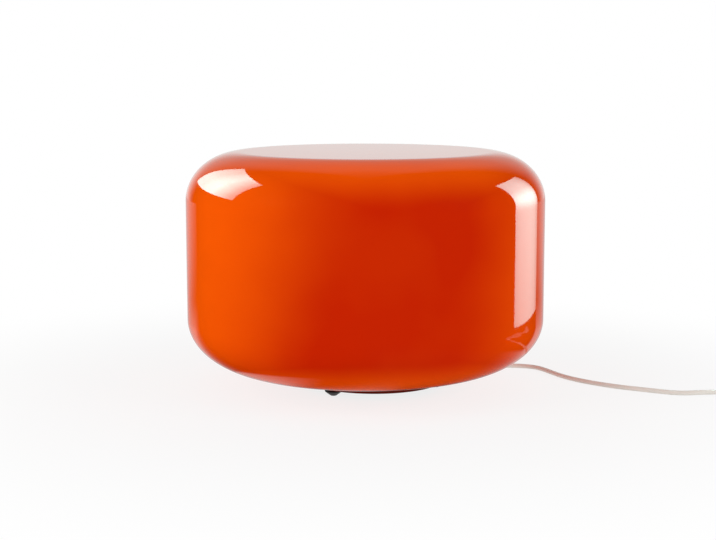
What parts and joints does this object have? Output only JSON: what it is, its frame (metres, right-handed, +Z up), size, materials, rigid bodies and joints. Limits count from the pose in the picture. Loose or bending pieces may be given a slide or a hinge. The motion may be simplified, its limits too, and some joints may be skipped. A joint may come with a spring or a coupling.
{
  "type": "glass table lamp",
  "caption": "Low drum of orange-red cased glass standing loose on a small round maroon base with rubber feet, with a bulb holder inside, a pale cord, rocker switch and mains plug.",
  "frame": {"origin": "on the glass drum's axis, at the table top under the feet", "axes": "+Z up along the glass drum's axis, +X to the right in the picture, towards the switch, +Y away from the viewer"},
  "size_m": [0.7061, 0.4, 0.266],
  "materials": {
    "orange_glass": "polished blown glass, orange red over opal white",
    "seat_rubber": "matt",
    "maroon_lacquer": "gloss",
    "cast_iron": "as cast",
    "black_sheet": "satin",
    "steel_screw": "zinc plated",
    "foot_rubber": "matt",
    "zinc_steel": "zinc plated",
    "holder_plastic": "satin",
    "holder_ceramic": "matt",
    "brass_sheet": "bright",
    "opal_glass": "etched",
    "bulb_aluminium": "rolled",
    "black_glass": "gloss",
    "solder": "satin",
    "clear_glass": "clear",
    "tungsten": "drawn",
    "block_plastic": "satin",
    "wire_sheath": "satin",
    "cord_pvc": "satin",
    "tie_plastic": "satin",
    "switch_plastic": "gloss",
    "plug_plastic": "satin",
    "nickel_brass": "nickel plated",
    "pin_nylon": "satin"
  },
  "bodies": {
    "base": {"seat_ring": "seat_rubber", "base_dish": "maroon_lacquer", "base_weight": "cast_iron", "bottom_cover": "black_sheet", "dish_screws": "steel_screw", "cover_screws": "steel_screw", "foot_front": "foot_rubber", "foot_right": "foot_rubber", "foot_rear": "foot_rubber", "threaded_tube": "zinc_steel", "lower_nut": "zinc_steel", "lock_washer": "zinc_steel", "upper_nut": "zinc_steel", "holder_cap": "holder_plastic", "holder_shell": "holder_plastic", "holder_insert": "holder_ceramic", "thread_sleeve": "brass_sheet", "centre_contact": "brass_sheet", "holder_rivets": "brass_sheet", "holder_terminals": "brass_sheet", "holder_terminal_screws": "steel_screw", "terminal_block": "block_plastic", "terminal_sleeves": "brass_sheet", "terminal_screws": "steel_screw", "block_screw": "steel_screw", "clamp_bed": "block_plastic", "clamp_saddle": "block_plastic", "clamp_screws": "steel_screw", "supply_cores": "wire_sheath", "holder_wires": "wire_sheath", "cord_bush": "cord_pvc", "cord_inner": "cord_pvc", "cord_lamp_run": "cord_pvc", "cord_switch_run": "cord_pvc", "cord_coil": "cord_pvc", "cord_plug_run": "cord_pvc", "coil_tie": "tie_plastic", "switch_base": "switch_plastic", "switch_cover": "switch_plastic", "switch_contacts": "brass_sheet", "switch_screws": "steel_screw", "switch_sheaths": "cord_pvc", "switch_wires": "wire_sheath", "plug_body": "plug_plastic", "plug_pin_left": "nickel_brass", "plug_pin_right": "nickel_brass", "pin_sleeves": "pin_nylon"},
    "glass": {"glass_diffuser": "orange_glass"},
    "bulb": {"bulb_glass": "opal_glass", "bulb_cap": "bulb_aluminium", "bulb_insulator": "black_glass", "bulb_tip": "solder", "bulb_stem": "clear_glass", "bulb_filament": "tungsten"},
    "rocker": {"switch_rocker": "switch_plastic", "switch_plunger": "block_plastic"},
    "bridge": {"switch_bridge": "brass_sheet"}
  },
  "joints": [
    {"name": "glass_lift", "type": "slide", "parent": "base", "child": "glass", "axis": [0, 0, 1], "range_m": [0, 0.2]},
    {"name": "bulb_out", "type": "slide", "parent": "base", "child": "bulb", "axis": [0, 0, 1], "range_m": [0, 0.035]},
    {"name": "switch_rock", "type": "hinge", "parent": "base", "child": "rocker", "pos_m": [0.425, -0.066, 0.011], "axis": [0, -1, 0], "range_deg": [0, 18]},
    {"name": "bridge_rock", "type": "hinge", "parent": "base", "child": "bridge", "pos_m": [0.425, -0.066, 0.0042], "axis": [0, 1, 0], "range_deg": [0, 10]}
  ],
  "couplings": [
    {"joint": "bridge_rock", "follows": "switch_rock", "ratio": 0.55}
  ]
}
